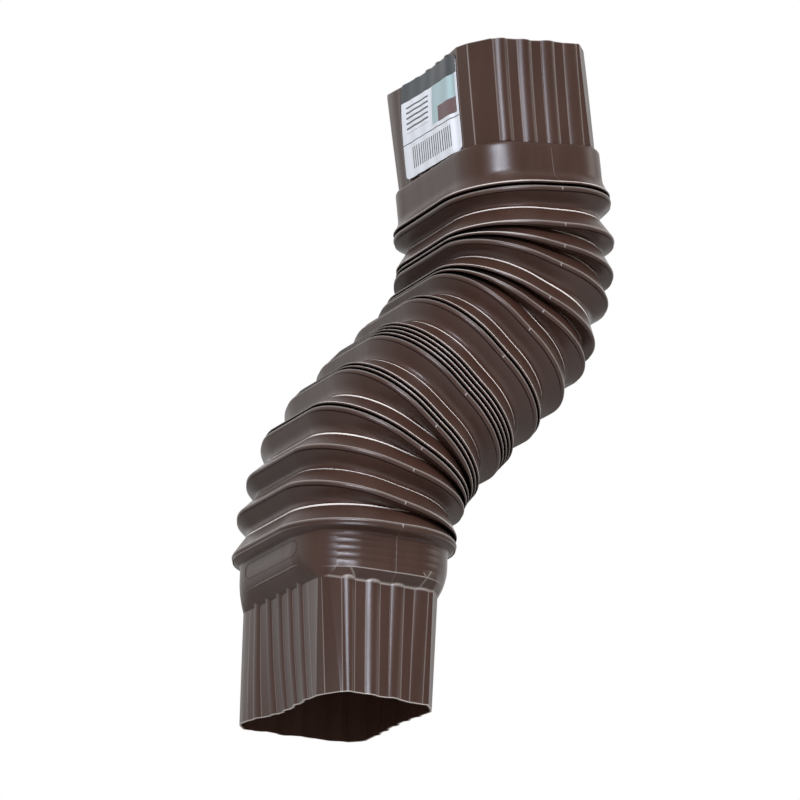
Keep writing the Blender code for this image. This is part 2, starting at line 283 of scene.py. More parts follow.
@dataclass(frozen=True)
class Sample:
    """One place of an outline: on a face, at a distance along it, or in the corner before that face."""

    face: Face
    in_corner: bool
    place: float
    proud: float = 0.0
    pale: float = 0.0
    seam: float = 0.0


@dataclass(frozen=True)
class Flutes:
    """The ribs on one kind of face."""

    count: int
    pitch: float
    width: float
    height: float
    line: float


# The line of a set of flutes is the pale at each rib's feet: a painted highlight on the crease there
NARROW_FLUTES = Flutes(4, 11.2 * MM, 6.4 * MM, RIB_HEIGHT, 0.16)
WIDE_FLUTES = Flutes(5, 10.0 * MM, 5.2 * MM, 1.0 * MM, 0.14)
RIB_FADE = 0.66
SEAM_X = 2.2 * MM
FACET_LINE_INSET = 3.6 * MM
LINE = 0.3 * MM
SEAM_HALF = 0.4 * MM
SEAM_PROUD = 0.06 * MM
SEAM_PALE = 0.1
FACET_LINE_PALE = 0.22
KINK_PALE = 0.24
CORNER_PALE = 0.12
CORNER_STEPS = 14
# A rib's arc: 1 would make it half round, and more is flatter
RIB_ARC = 1.9
# The waves that a cut rim has, by the way across the pipe
RIM_WAVE_X = 3.1 / (9.0 * MM)
RIM_WAVE_Y = 1.7 / (11.0 * MM)
RIB_STEPS = (-1.14, -1.0, -0.9, -0.78, -0.64, -0.48, -0.25, 0.0, 0.25, 0.48, 0.64, 0.78, 0.9, 1.0, 1.14)


def rib_shape(side: float) -> float:
    """Return the share of a rib's height at a place across it, from -1 to 1: a flat arc."""
    foot = math.sqrt(RIB_ARC - 1.0)
    return max(0.0, (math.sqrt(max(0.0, RIB_ARC - side * side)) - foot) / (math.sqrt(RIB_ARC) - foot))


def corner_samples(face: Face, steps: int) -> list[Sample]:
    """Lay out the places round the corner before a face, with pale creases at its kink and the wide face.

    Args:
        face: the face that the corner leads to.
        steps: how many steps the corner has, apart from those at its creases.

    Returns:
        The places in order.
    """
    kink = 1.0 - KINK_PLACE if face.wide else KINK_PLACE
    places = {0.0, 0.03, kink - 0.03, kink, kink + 0.03, 0.97, 1.0}
    places |= {step / steps for step in range(1, steps) if abs(step / steps - kink) > 0.05}
    creases = {kink: KINK_PALE, 1.0 if face.wide else 0.0: CORNER_PALE}
    return [Sample(face, True, place, pale=creases.get(place, 0.0)) for place in sorted(places)]


def kinked(place: float, leaves_wide: bool) -> tuple[float, float]:
    """Read the facets of a corner.

    Args:
        place: how far round the corner, from 0 to 1.
        leaves_wide: whether the outline comes from a wide face.

    Returns:
        How far it has dropped from the face that it leaves and how far it has run along it, as shares.
    """
    if not leaves_wide:
        drop, run = kinked(1.0 - place, True)
        return 1.0 - run, 1.0 - drop
    if place <= KINK_PLACE:
        return KINK_X * place / KINK_PLACE, KINK_Y * place / KINK_PLACE
    rest = (place - KINK_PLACE) / (1.0 - KINK_PLACE)
    return KINK_X + (1.0 - KINK_X) * rest, KINK_Y + (1.0 - KINK_Y) * rest


def seam_samples(face: Face) -> list[Sample]:
    """Return the places across the mould's seam, which runs down the narrow faces only."""
    if face.wide:
        return []
    middle = SEAM_X * face.value[1][0]
    return [
        Sample(face, False, middle - SEAM_HALF),
        Sample(face, False, middle, seam=1.0),
        Sample(face, False, middle + SEAM_HALF),
    ]


def fluted_samples(flats: tuple[float, float], corner_steps: int) -> list[Sample]:
    """Lay out the places round a fluted sleeve.

    Args:
        flats: half the flat length of a narrow and of a wide face.
        corner_steps: steps round each corner.

    Returns:
        All places, starting at the corner before the back face.
    """
    samples = []
    for face in FACES:
        flutes = WIDE_FLUTES if face.wide else NARROW_FLUTES
        samples += corner_samples(face, corner_steps)
        across = seam_samples(face)
        half = flats[1 if face.wide else 0]
        across += [Sample(face, False, side * (half - LINE)) for side in (-1.0, 1.0)]
        if face.wide:
            middle = half - FACET_LINE_INSET
            for side in (-1.0, 1.0):
                for step in (-1, 0, 1):
                    pale = FACET_LINE_PALE * (1 - abs(step))
                    across.append(Sample(face, False, side * (middle + LINE * step), pale=pale))
        for rib in range(flutes.count):
            centre = (rib - (flutes.count - 1) / 2.0) * flutes.pitch
            height = flutes.height / RIB_HEIGHT
            if not face.wide:
                rightwards = centre * face.value[1][0] / ((flutes.count - 1) * flutes.pitch)
                height *= 1.0 - RIB_FADE * (0.5 + rightwards)
            for side in RIB_STEPS:
                place = centre + side * flutes.width / 2.0
                if abs(place) < half - 1.2 * LINE:
                    # Painted highlight along the rib's feet
                    pale = flutes.line if abs(side) == 1.0 else 0.0
                    across.append(Sample(face, False, place, rib_shape(side) * height, pale))
        samples += sorted(across, key=lambda sample: sample.place)
    return samples


def plain_samples(flats: tuple[float, float], corner_steps: int, face_step: float) -> list[Sample]:
    """Lay out the places round a plain part of the pipe, with the mould's seam on its narrow faces.

    Args:
        flats: half the flat length of a narrow and of a wide face.
        corner_steps: steps round each corner.
        face_step: the longest step along a face.

    Returns:
        All places, starting at the corner before the back face.
    """
    samples = []
    for face in FACES:
        samples += corner_samples(face, corner_steps)
        half = flats[1 if face.wide else 0]
        count = max(2, math.ceil(2.0 * half / face_step))
        across = seam_samples(face)
        middle = SEAM_X * face.value[1][0]
        for step in range(1, count):
            place = -half + 2.0 * half * step / count
            if face.wide or abs(place - middle) > 1.5 * SEAM_HALF:
                across.append(Sample(face, False, place))
        samples += sorted(across, key=lambda sample: sample.place)
    return samples


def outline_point(section: Section, flats: tuple[float, float], sample: Sample) -> tuple[float, float]:
    """Find where a sample lies on a section, without ribs.

    Args:
        section: the section to lie on.
        flats: half the lengths of the faces that the samples were laid out for.
        sample: the sample.

    Returns:
        The point's x and y.
    """
    number = FACES.index(sample.face)
    if sample.in_corner:
        first = FACES[number - 1]
        normal, along = first.value
        size = {Face.FRONT: section.near_corner, Face.RIGHT: section.right_corner}.get(sample.face, 1.0)
        radii = (size * section.corner_x, size * section.corner_y)
        inner = (section.half_x - radii[0], section.half_y - radii[1])
        out, side = (0, 1) if first.wide else (1, 0)
        start = math.asin(min(0.95, max(0.0, (flats[side] - inner[side]) / radii[side])))
        end = math.pi / 2 - math.asin(min(0.95, max(0.0, (flats[out] - inner[out]) / radii[out])))
        angle = start + (end - start) * sample.place
        drop, run = kinked(sample.place, first.wide)
        tall = math.cos(start) + (math.cos(end) - math.cos(start)) * drop
        long = math.sin(start) + (math.sin(end) - math.sin(start)) * run
        bow = section.bow
        height = inner[out] + radii[out] * (bow * math.cos(angle) + (1.0 - bow) * tall)
        reach = inner[side] + radii[side] * (bow * math.sin(angle) + (1.0 - bow) * long)
    else:
        normal, along = sample.face.value
        wide = sample.face.wide
        half, radius = (section.half_x, section.corner_x) if wide else (section.half_y, section.corner_y)
        flat = section.flats()[1 if wide else 0]
        side_radius = section.corner_y if wide else section.corner_x
        past = max(0.0, abs(sample.place) - flat) / side_radius
        height = half - radius + radius * math.sqrt(max(0.0, 1.0 - past * past))
        reach = sample.place
    return normal[0] * height + along[0] * reach, normal[1] * height + along[1] * reach


@dataclass(frozen=True)
class Ring:
    """One ring of a wall, with what its surface carries at each point: how pale it is and its painted
    shade.
    """

    points: list[Vector]
    pale: list[float]
    painted_shade: list[float]


@dataclass(frozen=True)
class Station:
    """A ring of a sleeve or a collar before it is laid out."""

    place: PipeFrame
    section: Section
    ribs: float = 0.0
    lines: float = 0.0
    pinch: float = 0.0
    skew: float = 0.0
    lift: float = 0.0
    pale: float = 0.0
    painted_shade: float = 0.0
    seam: float = 0.0
    wave: float = 0.0

    def ring(self, samples: Sequence[Sample], flats: tuple[float, float]) -> Ring:
        """Lay the station out as a ring.

        Args:
            samples: the places round the pipe.
            flats: half the lengths of the faces that the samples were laid out for.

        Returns:
            The ring.
        """
        points, pale = [], []
        for sample in samples:
            x, y = outline_point(self.section, flats, sample)
            proud = RIB_HEIGHT * self.ribs * sample.proud + SEAM_PROUD * self.seam * sample.seam
            if not sample.in_corner:
                x += sample.face.value[0][0] * proud
                y += sample.face.value[0][1] * proud
            x, y = self.section.pinched(x, y, self.pinch)
            x, y = self.section.skewed(x, y, self.skew)
            up = proud * self.lift + self.wave * math.sin(RIM_WAVE_X * x + RIM_WAVE_Y * y)
            points.append(self.place.place(x, y, up))
            pale.append(max(self.pale, sample.pale * self.lines, SEAM_PALE * self.seam * sample.seam))
        return Ring(points, pale, [self.painted_shade] * len(points))


class WallPiece:
    """A closed wall built from rings down its outside and back up its inside."""

    MERGE_WITHIN = 0.0005 * MM
    SMOOTH_DEGREES = 28.0

    def __init__(self, name: str, outer: Sequence[Ring], inner: Sequence[Ring]) -> None:
        """Keep the rings.

        Args:
            name: the piece's name.
            outer: rings down the outside.
            inner: rings down the inside.
        """
        self.name = name
        self.rings = list(outer) + list(reversed(inner))

    def build(self) -> bpy.types.Object:
        """Roll a grid into the wall: down the outside, up the inside and once round the pipe.

        Returns:
            The finished object, with the pale and the painted shade of each point as attributes.
        """
        around = len(self.rings[0].points)
        along = len(self.rings)
        bpy.ops.object.select_all(action="DESELECT")
        bpy.ops.mesh.primitive_grid_add(x_subdivisions=along, y_subdivisions=around)
        item = bpy.context.active_object
        item.name = self.name
        mesh = item.data
        mesh.name = self.name
        places, pale, painted_shade = [], [], []
        for index in range(around + 1):
            for number in range(along + 1):
                ring = self.rings[number % along]
                places.extend(ring.points[index % around])
                pale.append(ring.pale[index % around])
                painted_shade.append(ring.painted_shade[index % around])
        mesh.vertices.foreach_set("co", places)
        for label, values in (("pale", pale), ("painted_shade", painted_shade)):
            mesh.attributes.new(label, "FLOAT", "POINT").data.foreach_set("value", values)
        while mesh.uv_layers:
            mesh.uv_layers.remove(mesh.uv_layers[0])
        edit_all(bpy.ops.mesh.remove_doubles, threshold=self.MERGE_WITHIN)
        mesh.update()
        if signed_volume(mesh) < 0.0:
            edit_all(bpy.ops.mesh.flip_normals)
        bpy.ops.object.shade_smooth_by_angle(angle=math.radians(self.SMOOTH_DEGREES))
        return item


def edit_all(step: Callable[..., object], **settings: object) -> None:
    """Run one mesh operator on all of the active object.

    Args:
        step: the operator.
        **settings: its settings.
    """
    bpy.ops.object.mode_set(mode="EDIT")
    bpy.ops.mesh.select_all(action="SELECT")
    step(**settings)
    bpy.ops.object.mode_set(mode="OBJECT")


def signed_volume(mesh: bpy.types.Mesh) -> float:
    """Return six times the volume inside a mesh, below zero when its faces point inwards."""
    mesh.calc_loop_triangles()
    total = 0.0
    for triangle in mesh.loop_triangles:
        a, b, c = (mesh.vertices[index].co for index in triangle.vertices)
        total += a.dot(b.cross(c))
    return total


def crest_frames() -> list[PipeFrame]:
    """Return the frames of all crests from the inlet down, built up pleat by pleat from the outlet."""
    start = OUTLET_LENGTH + LOWER_SHOULDER_HEIGHT + LOWER_COLLAR_HEIGHT + LOWER_NECK_HEIGHT
    place = PipeFrame(0.0, start, 0.0)
    frames = [place]
    for left, right in reversed(PLEATS_MM):
        turn = (right - left) * MM / (2.0 * CREST.half_x)
        middle = replace(place, tilt=place.tilt + turn / 2.0)
        upper = middle.moved((left + right) / 2.0 * MM)
        place = replace(upper, tilt=place.tilt + turn)
        frames.append(place)
    return frames[::-1]


@dataclass
class Sleeve:
    """A fluted sleeve from its rim inwards.

    Attributes:
        rim: the frame of its rim.
        into: 1 or -1, the way into the sleeve along the pipe's axis.
        section: its section, with the corners that it has at the rim.
        length: how long it is.
        depths: how deep its rings lie.
        pinch: how far its wide faces are pressed in at the rim.
        flare_x: how much further out its wide faces stand at the rim than at its end.
        flare_y: the same of its narrow faces.
        lift: how much higher the sleeve ends on a rib, for each height of the rib.
        rim_skew: how far the left face is pressed in towards the front, at the rim.
        end_skew: the same at the sleeve's end.
        end_corner: size of the left front corner at the sleeve's end.
        end_right: size of the right front corner at the sleeve's end.
    """

    rim: PipeFrame
    into: float
    section: Section
    length: float
    depths: tuple[float, ...]
    pinch: float
    flare_x: float = 0.0
    flare_y: float = 0.0
    lift: float = 0.0
    rim_skew: float = 0.0
    end_skew: float = 0.0
    end_corner: float = 1.0
    end_right: float = 1.0

    PINCH_REACH = 30.0 * MM
    WAVE = 0.18 * MM
    WAVE_REACH = 6.0 * MM

    def foot(self) -> Section:
        """Return the section with the corners that it has at the sleeve's end."""
        return replace(self.section, near_corner=self.end_corner, right_corner=self.end_right)

    def pinch_at(self, depth: float) -> float:
        """Return how far the wide faces are pressed in at a depth."""
        return self.pinch * max(0.0, 1.0 - depth / self.PINCH_REACH) ** 2

    def flared(self, section: Section, depth: float) -> Section:
        """Let a section stand as far out as the sleeve does at a depth.

        Args:
            section: the section at the sleeve's end.
            depth: how far below the rim.

        Returns:
            The section there.
        """
        open_share = 1.0 - depth / self.length
        return replace(
            section,
            half_x=section.half_x + self.flare_x * open_share,
            half_y=section.half_y + self.flare_y * open_share,
        )

    def stations(self, wall: float, end_wall: float) -> list[Station]:
        """Lay out one face of the sleeve.

        Args:
            wall: how far inside the outer face it lies.
            end_wall: how much deeper its last ring lies.

        Returns:
            Stations from the rim inwards.
        """
        stations = []
        for depth in self.depths:
            open_share = 1.0 - depth / self.length
            corners = self.foot().towards(self.section, open_share)
            here = replace(
                self.flared(self.section.inset(wall), depth),
                near_corner=corners.near_corner,
                right_corner=corners.right_corner,
            )
            last = depth == self.depths[-1]
            stations.append(
                Station(
                    self.rim.moved(self.into * (depth + (end_wall if last else 0.0))),
                    here,
                    ribs=1.0,
                    lines=0.0 if wall else 1.0,
                    pinch=self.pinch_at(depth),
                    skew=self.end_skew + (self.rim_skew - self.end_skew) * open_share,
                    lift=self.lift if last else 0.0,
                    wave=self.WAVE * max(0.0, 1.0 - depth / self.WAVE_REACH),
                )
            )
        return stations


class InletEnd:
    """The inlet sleeve, its shoulder, the smooth upper collar and its flare down to the first crest."""

    DEPTHS_MM = (0.0, 0.4, 1.2, 3.0, 6.0, 9.0, 13.0, 18.0, 24.0, 30.0, 36.0, 41.0, 43.6, 44.5)
    RIM_PALE = 0.3
    # Of the shoulder: millimetres below the collar's top, millimetres out from the sleeve, and painted
    # shadow under the step
    SHOULDER = (
        (0.25, 0.9, 0.25), (0.55, 1.9, 0.05), (0.95, 2.6, 0.0), (1.50, 3.05, 0.0), (2.20, 3.20, 0.0),
    )
    # Of the collar: millimetres above the crest
    COLLAR = (14.5, 10.0, 7.7, 6.4)
    # Of the flare: millimetres above the crest, the share of the way out to it, and painted highlight at
    # the crest's edge
    FLARE = (
        (5.2, 0.04, 0.0), (4.2, 0.14, 0.0), (3.2, 0.29, 0.0), (2.2, 0.47, 0.0), (1.3, 0.66, 0.0),
        (0.62, 0.83, 0.0), (0.28, 0.93, 0.25), (0.0, 1.0, 1.0), (-0.3, 0.985, 0.45),
    )

    def __init__(self, first_crest: PipeFrame) -> None:
        """Place the inlet above the first crest."""
        self.crest = first_crest
        self.rim = first_crest.moved(INLET_LENGTH + UPPER_COLLAR_HEIGHT + UPPER_FLARE_HEIGHT)
        self.sleeve = Sleeve(
            self.rim, -1.0, INLET, INLET_LENGTH, tuple(depth * MM for depth in self.DEPTHS_MM),
            pinch=2.9 * MM, flare_x=0.5 * MM, flare_y=2.0 * MM, end_corner=1.38, end_right=1.05,
        )
        self.flats = INLET.flats()

    def build(self) -> bpy.types.Object:
        """Build the inlet end as one wall."""
        samples = fluted_samples(self.flats, CORNER_STEPS)
        top = UPPER_FLARE_HEIGHT + UPPER_COLLAR_HEIGHT
        outer = self.sleeve.stations(0.0, 0.0)
        outer[0] = replace(outer[0], pale=self.RIM_PALE)
        for below, step, painted_shade in self.SHOULDER:
            wall = self.sleeve.foot().towards(UPPER_COLLAR, step * MM / UPPER_COLLAR_STEP)
            outer.append(Station(self.crest.moved(top - below * MM), wall, painted_shade=painted_shade))
        for height in self.COLLAR:
            outer.append(Station(self.crest.moved(height * MM), UPPER_COLLAR, seam=1.0))
        for height, share, pale in self.FLARE:
            wall = UPPER_COLLAR.towards(CREST, share)
            outer.append(Station(self.crest.moved(height * MM), wall, pale=pale, seam=1.0))
        inner = self.sleeve.stations(SLEEVE_WALL, 0.4 * MM)[::2]
        inner += [
            Station(self.crest.moved(top - 2.2 * MM), UPPER_COLLAR.grown(-SLEEVE_WALL)),
            Station(self.crest.moved(4.2 * MM), UPPER_COLLAR.grown(-SLEEVE_WALL)),
            Station(self.crest.moved(0.9 * MM), CREST.grown(-1.6 * MM)),
            Station(self.crest.moved(-0.2 * MM), CREST.grown(-0.7 * MM)),
        ]
        rings = [station.ring(samples, self.flats) for station in outer]
        inner_rings = [station.ring(samples, self.flats) for station in inner]
        return WallPiece("inlet_end", rings, inner_rings).build()


class OutletEnd:
    """The last crest's underside, the grooved lower collar, its shoulder and the outlet sleeve."""

    DEPTHS_MM = (0.0, 0.4, 1.2, 3.0, 6.0, 9.0, 13.0, 18.0, 24.0, 30.0, 36.0, 41.0, 45.0, 46.3, 47.0)
    RIM_PALE = 0.6
    FOOT_PALE = 0.36
    # Of the neck: millimetres below the crest, the share of the way in to the collar, and painted shade
    # under the lip
    NECK = (
        (1.55, 0.10, 0.0), (1.80, 0.085, 0.8), (2.00, 0.05, 0.2), (2.5, 0.16, 0.0), (3.1, 0.42, 0.0),
        (3.6, 0.70, 0.0), (4.0, 0.90, 0.0), (4.5, 0.985, 0.0), (5.2, 1.0, 0.0),
    )
    CURVE_TOP = 60.0 * MM
    EDGE = 51.0 * MM
    GROOVES = 4
    FIRST_GROOVE = 63.3 * MM
    GROOVE_PITCH = 3.0 * MM
    # Of a groove: millimetres above its middle, millimetres deep, and painted shade in the groove
    GROOVE = ((0.75, 0.0, 0.0), (0.42, 0.12, 0.0), (0.0, 0.34, 0.18), (-0.42, 0.12, 0.0), (-0.75, 0.0, 0.0))
    GROOVES_FADE = (-20.0 * MM, 2.0 * MM)
    GROOVES_FADED = 0.75
    # Of the shoulder: its height in millimetres, and how pale the narrow faces are there
    SHOULDER = (
        (52.2, 0.0), (51.3, 0.0), (51.0, 0.40), (50.7, 0.0), (50.0, 0.0), (49.2, 0.0), (48.4, 0.0),
        (47.7, 0.0),
    )
    WIDE_FROM = (-0.55, 0.05)
    FRAME_MIDDLE_Y = -3.0 * MM
    FRAME_MIDDLE_Z = 60.8 * MM
    FRAME_HALF_Y = 24.5 * MM
    FRAME_HALF_Z = 3.2 * MM
    FRAME_END_STEPS = 16
    FRAME_SIDE_STEPS = 6
    # Across the frame's bead: millimetres outside its line, millimetres proud, and painted shade at its
    # feet
    FRAME_BEAD = (
        (0.45, -0.25, 0.9), (0.30, 0.02, 0.5), (0.15, 0.16, 0.0), (-0.15, 0.16, 0.0), (-0.30, 0.02, 0.5),
        (-0.45, -0.25, 0.9),
    )

    def __init__(self, last_crest: PipeFrame) -> None:
        """Place the outlet below the last crest."""
        self.crest = last_crest
        self.sleeve = Sleeve(
            PipeFrame(0.0, 0.0, 0.0), 1.0, OUTLET, OUTLET_LENGTH,
            tuple(depth * MM for depth in self.DEPTHS_MM),
            pinch=1.2 * MM, lift=LOWER_SHOULDER_HEIGHT / (LOWER_COLLAR.half_x - OUTLET.half_x),
            rim_skew=4.4 * MM, end_skew=1.0 * MM, end_corner=0.6, end_right=1.4,
        )
        self.flats = OUTLET.flats()

    def neck(self) -> list[Station]:
        """Return the stations from under the last crest down to the top of the collar."""
        return [
            Station(
                self.crest.moved(-height * MM), CREST.towards(LOWER_COLLAR, share), painted_shade=painted_shade, seam=1.0
            )
            for height, share, painted_shade in self.NECK
        ]

    def wide_share(self, sample: Sample) -> float:
        """Return 1 on a wide face, 0 on a narrow one and a share in the corners."""
        x, y = outline_point(LOWER_COLLAR, self.flats, sample)
        return smooth_step(*self.WIDE_FROM, abs(x) / LOWER_COLLAR.half_x - abs(y) / LOWER_COLLAR.half_y)

    def groove_share(self, sample: Sample) -> float:
        """Return how deep the grooves are: they are worn off the mould towards the right."""
        x, _ = outline_point(LOWER_COLLAR, self.flats, sample)
        return 1.0 - self.GROOVES_FADED * smooth_step(*self.GROOVES_FADE, x)

    def tapered(self, sample: Sample, z: float, sunk: float) -> Vector:
        """Find a point of the collar or its shoulder.

        The wide faces curve in from CURVE_TOP, and the narrow ones keep straight down to a sharp edge.

        Args:
            sample: the place round the pipe.
            z: how high it lies.
            sunk: how deep a groove is there.

        Returns:
            The point in the model's frame.
        """
        wide = self.wide_share(sample)
        foot = self.sleeve.foot()
        x0, y0 = outline_point(LOWER_COLLAR.grown(-sunk), self.flats, sample)
        x1, y1 = foot.skewed(*outline_point(foot, self.flats, sample), self.sleeve.end_skew)
        curved = max(0.0, (self.CURVE_TOP - z) / (self.CURVE_TOP - OUTLET_LENGTH)) ** 2
        straight = max(0.0, (self.EDGE - z) / (self.EDGE - OUTLET_LENGTH))
        part = min(1.0, straight * (1.0 - wide) + curved * wide)
        return PipeFrame(0.0, z, 0.0).place(x0 + (x1 - x0) * part, y0 + (y1 - y0) * part)

    def collar(self, samples: Sequence[Sample]) -> list[Ring]:
        """Lay out the grooved collar and the shoulder under it.

        Args:
            samples: the places round the pipe.

        Returns:
            Rings from under the neck down to just above the sleeve.
        """
        steps = [
            (self.FIRST_GROOVE - groove * self.GROOVE_PITCH + up * MM, depth * MM, dark, 0.0)
            for groove in range(self.GROOVES)
            for up, depth, dark in self.GROOVE
        ]
        steps += [(z * MM, 0.0, 0.0, line) for z, line in self.SHOULDER]
        rings = []
        for z, depth, dark, line in steps:
            points, pale, painted_shade = [], [], []
            for sample in samples:
                wide = self.wide_share(sample)
                meets = OUTLET_LENGTH + self.sleeve.lift * RIB_HEIGHT * sample.proud
                low = min(z, self.EDGE)
                squeezed = (low - OUTLET_LENGTH) / (self.EDGE - OUTLET_LENGTH)
                height = meets + (self.EDGE - meets) * squeezed + (z - low)
                point = self.tapered(sample, height, depth * self.groove_share(sample) * (1.0 - wide))
                if not sample.in_corner and not sample.face.wide:
                    point.y += sample.face.value[0][1] * SEAM_PROUD * sample.seam
                points.append(point)
                pale.append(max(line * (1.0 - wide), SEAM_PALE * sample.seam))
                # Painted shade in the grooves of the narrow faces
                painted_shade.append(dark * (1.0 - wide))
            rings.append(Ring(points, pale, painted_shade))
        return rings

    def build(self) -> bpy.types.Object:
        """Build the outlet end as one wall."""
        samples = fluted_samples(self.flats, CORNER_STEPS)
        sleeve = self.sleeve.stations(0.0, 0.0)
        sleeve[0] = replace(sleeve[0], pale=self.RIM_PALE)
        outer = [station.ring(samples, self.flats) for station in self.neck()]
        outer += self.collar(samples)
        pale = [self.FOOT_PALE * (1.0 - self.wide_share(sample)) for sample in samples]
        outer.append(replace(sleeve[-1].ring(samples, self.flats), pale=pale))
        outer += [station.ring(samples, self.flats) for station in reversed(sleeve[:-1])]
        inner = [
            Station(self.crest.moved(-1.6 * MM), CREST.grown(-1.5 * MM)),
            Station(self.crest.moved(-3.6 * MM), LOWER_COLLAR.grown(-0.6 * MM)),
            Station(self.crest.moved(-6.0 * MM), LOWER_COLLAR.grown(-SLEEVE_WALL)),
            Station(PipeFrame(0.0, 53.5 * MM, 0.0), LOWER_COLLAR.grown(-1.3 * MM)),
        ]
        inner += self.sleeve.stations(SLEEVE_WALL, 0.5 * MM)[::-2]
        inner_rings = [station.ring(samples, self.flats) for station in inner]
        return WallPiece("outlet_end", outer, inner_rings).build()

    def frame_path(self, grow: float, proud: float, painted_shade: float) -> Ring:
        """Lay out one line of the moulded frame on the collar's left face.

        Args:
            grow: how far outside the frame's own line it runs.
            proud: how far it stands out from the collar.
            painted_shade: how dark it is.

        Returns:
            The line as a closed ring, a rectangle with round ends.
        """
        points = []
        radius = self.FRAME_HALF_Z + grow
        straight = self.FRAME_HALF_Y - self.FRAME_HALF_Z
        for end in (1.0, -1.0):
            spots = []
            for step in range(self.FRAME_END_STEPS + 1):
                angle = math.pi * (step / self.FRAME_END_STEPS - 0.5)
                spots.append((end * (straight + radius * math.cos(angle)), end * radius * math.sin(angle)))
            for step in range(1, 2 * self.FRAME_SIDE_STEPS):
                spots.append((end * straight * (1.0 - step / self.FRAME_SIDE_STEPS), end * radius))
            for y, z in spots:
                sample = Sample(Face.LEFT, False, -(self.FRAME_MIDDLE_Y + y))
                point = self.tapered(sample, self.FRAME_MIDDLE_Z + z, 0.0)
                points.append(point - Vector((proud, 0.0, 0.0)))
        return Ring(points, [0.0] * len(points), [painted_shade] * len(points))

    def frame(self) -> bpy.types.Object:
        """Build the bare moulded frame as a low bead."""
        rings = [self.frame_path(grow * MM, proud * MM, painted_shade) for grow, proud, painted_shade in self.FRAME_BEAD]
        return WallPiece("collar_frame", rings, []).build()


